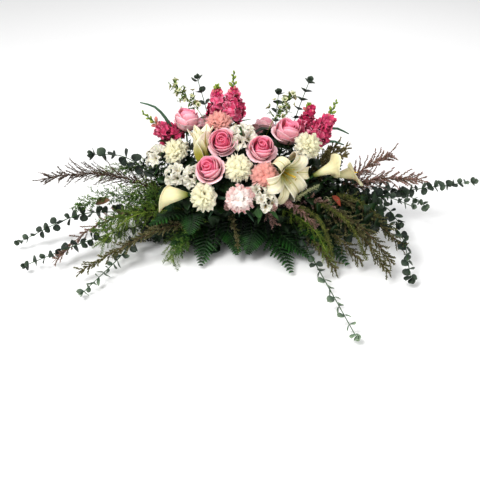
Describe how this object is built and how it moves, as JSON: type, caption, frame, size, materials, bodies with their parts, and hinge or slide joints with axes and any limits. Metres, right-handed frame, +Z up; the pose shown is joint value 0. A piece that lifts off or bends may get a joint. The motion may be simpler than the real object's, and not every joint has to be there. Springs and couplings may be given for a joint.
{
  "type": "casket spray",
  "caption": "Long low mound of mixed cut flowers over trailing greens, its stems set in foam held by a flat saddle tray.",
  "frame": {"origin": "centre of the saddle tray's flat underside, on the surface that the spray stands on", "axes": "+X along the spray, its longest way; -Y to the side that faces the viewer; +Z up"},
  "size_m": [1.2067, 0.7727, 0.4269],
  "materials": {
    "saddle": "moulded dark green plastic saddle with a fine satin grain",
    "foam": "wet green floral foam, dead matt and finely porous",
    "tape": "waterproof green anchor tape with a soft sheen",
    "rose_petal": "soft pink rose petals, deeper in the heart and paler on the lips, soft sheen",
    "carnation_petal_white": "cream white frilled carnation petals, matt",
    "carnation_petal_pink": "salmon pink frilled carnation petals with pale edges, matt",
    "lily_petal": "ivory white lily petals, waxy, with a yellow green throat",
    "calla_spathe": "creamy yellow calla spathe, waxy, green at the neck",
    "snapdragon_floret": "deep pink velvety florets with yellow green buds",
    "alstroemeria_petal": "white petals with green and pink tints, soft sheen",
    "white_sprig_cup": "small cream white cups and yellow green buds",
    "eucalyptus_leaf": "dark grey green round leaves with a waxy bloom",
    "salal_leaf": "broad dark green salal leaves with a leathery gloss",
    "fern_leaf": "dark green leathery fern fronds with a soft gloss",
    "plume_needle": "bright green soft needles, matt",
    "heather_twig": "mauve brown and olive twigs thick with tiny leaves, matt",
    "stem": "fleshy mid green flower stems and the leaves on them, soft sheen",
    "green_bud": "firm yellow green flower buds, soft sheen",
    "pollen": "golden yellow spadix, stamens and anthers, dusty matt"
  },
  "bodies": {
    "root": {"alstroemeria_1": "alstroemeria_petal", "alstroemeria_2": "alstroemeria_petal", "alstroemeria_3": "alstroemeria_petal", "alstroemeria_4": "alstroemeria_petal", "alstroemeria_5": "alstroemeria_petal", "alstroemeria_6": "alstroemeria_petal", "anchor_tape_left": "tape", "anchor_tape_right": "tape", "calla_1": "calla_spathe", "calla_2": "calla_spathe", "calla_3": "calla_spathe", "carnation_1": "carnation_petal_white", "carnation_2": "carnation_petal_white", "carnation_3": "carnation_petal_white", "carnation_4": "carnation_petal_white", "carnation_5": "carnation_petal_pink", "carnation_6": "carnation_petal_pink", "carnation_7": "carnation_petal_pink", "carnation_8": "carnation_petal_white", "eucalyptus_1": "eucalyptus_leaf", "eucalyptus_2": "eucalyptus_leaf", "eucalyptus_3": "eucalyptus_leaf", "eucalyptus_4": "eucalyptus_leaf", "eucalyptus_5": "eucalyptus_leaf", "eucalyptus_6": "eucalyptus_leaf", "eucalyptus_7": "eucalyptus_leaf", "eucalyptus_8": "eucalyptus_leaf", "fern_1": "fern_leaf", "fern_2": "fern_leaf", "fern_3": "fern_leaf", "fern_4": "fern_leaf", "fern_5": "fern_leaf", "fern_6": "fern_leaf", "foam_block": "foam", "heather_1": "heather_twig", "heather_2": "heather_twig", "heather_3": "heather_twig", "heather_4": "heather_twig", "lily_1": "lily_petal", "lily_2": "lily_petal", "plume_fern_1": "plume_needle", "plume_fern_2": "plume_needle", "rose_1": "rose_petal", "rose_2": "rose_petal", "rose_3": "rose_petal", "rose_4": "rose_petal", "rose_5": "rose_petal", "rose_6": "rose_petal", "rose_7": "rose_petal", "saddle_tray": "saddle", "salal_1": "salal_leaf", "salal_2": "salal_leaf", "salal_3": "salal_leaf", "snapdragon_1": "snapdragon_floret", "snapdragon_2": "snapdragon_floret", "snapdragon_3": "snapdragon_floret", "snapdragon_4": "snapdragon_floret", "snapdragon_5": "snapdragon_floret", "white_sprig_1": "white_sprig_cup", "white_sprig_2": "white_sprig_cup"}
  },
  "joints": []
}
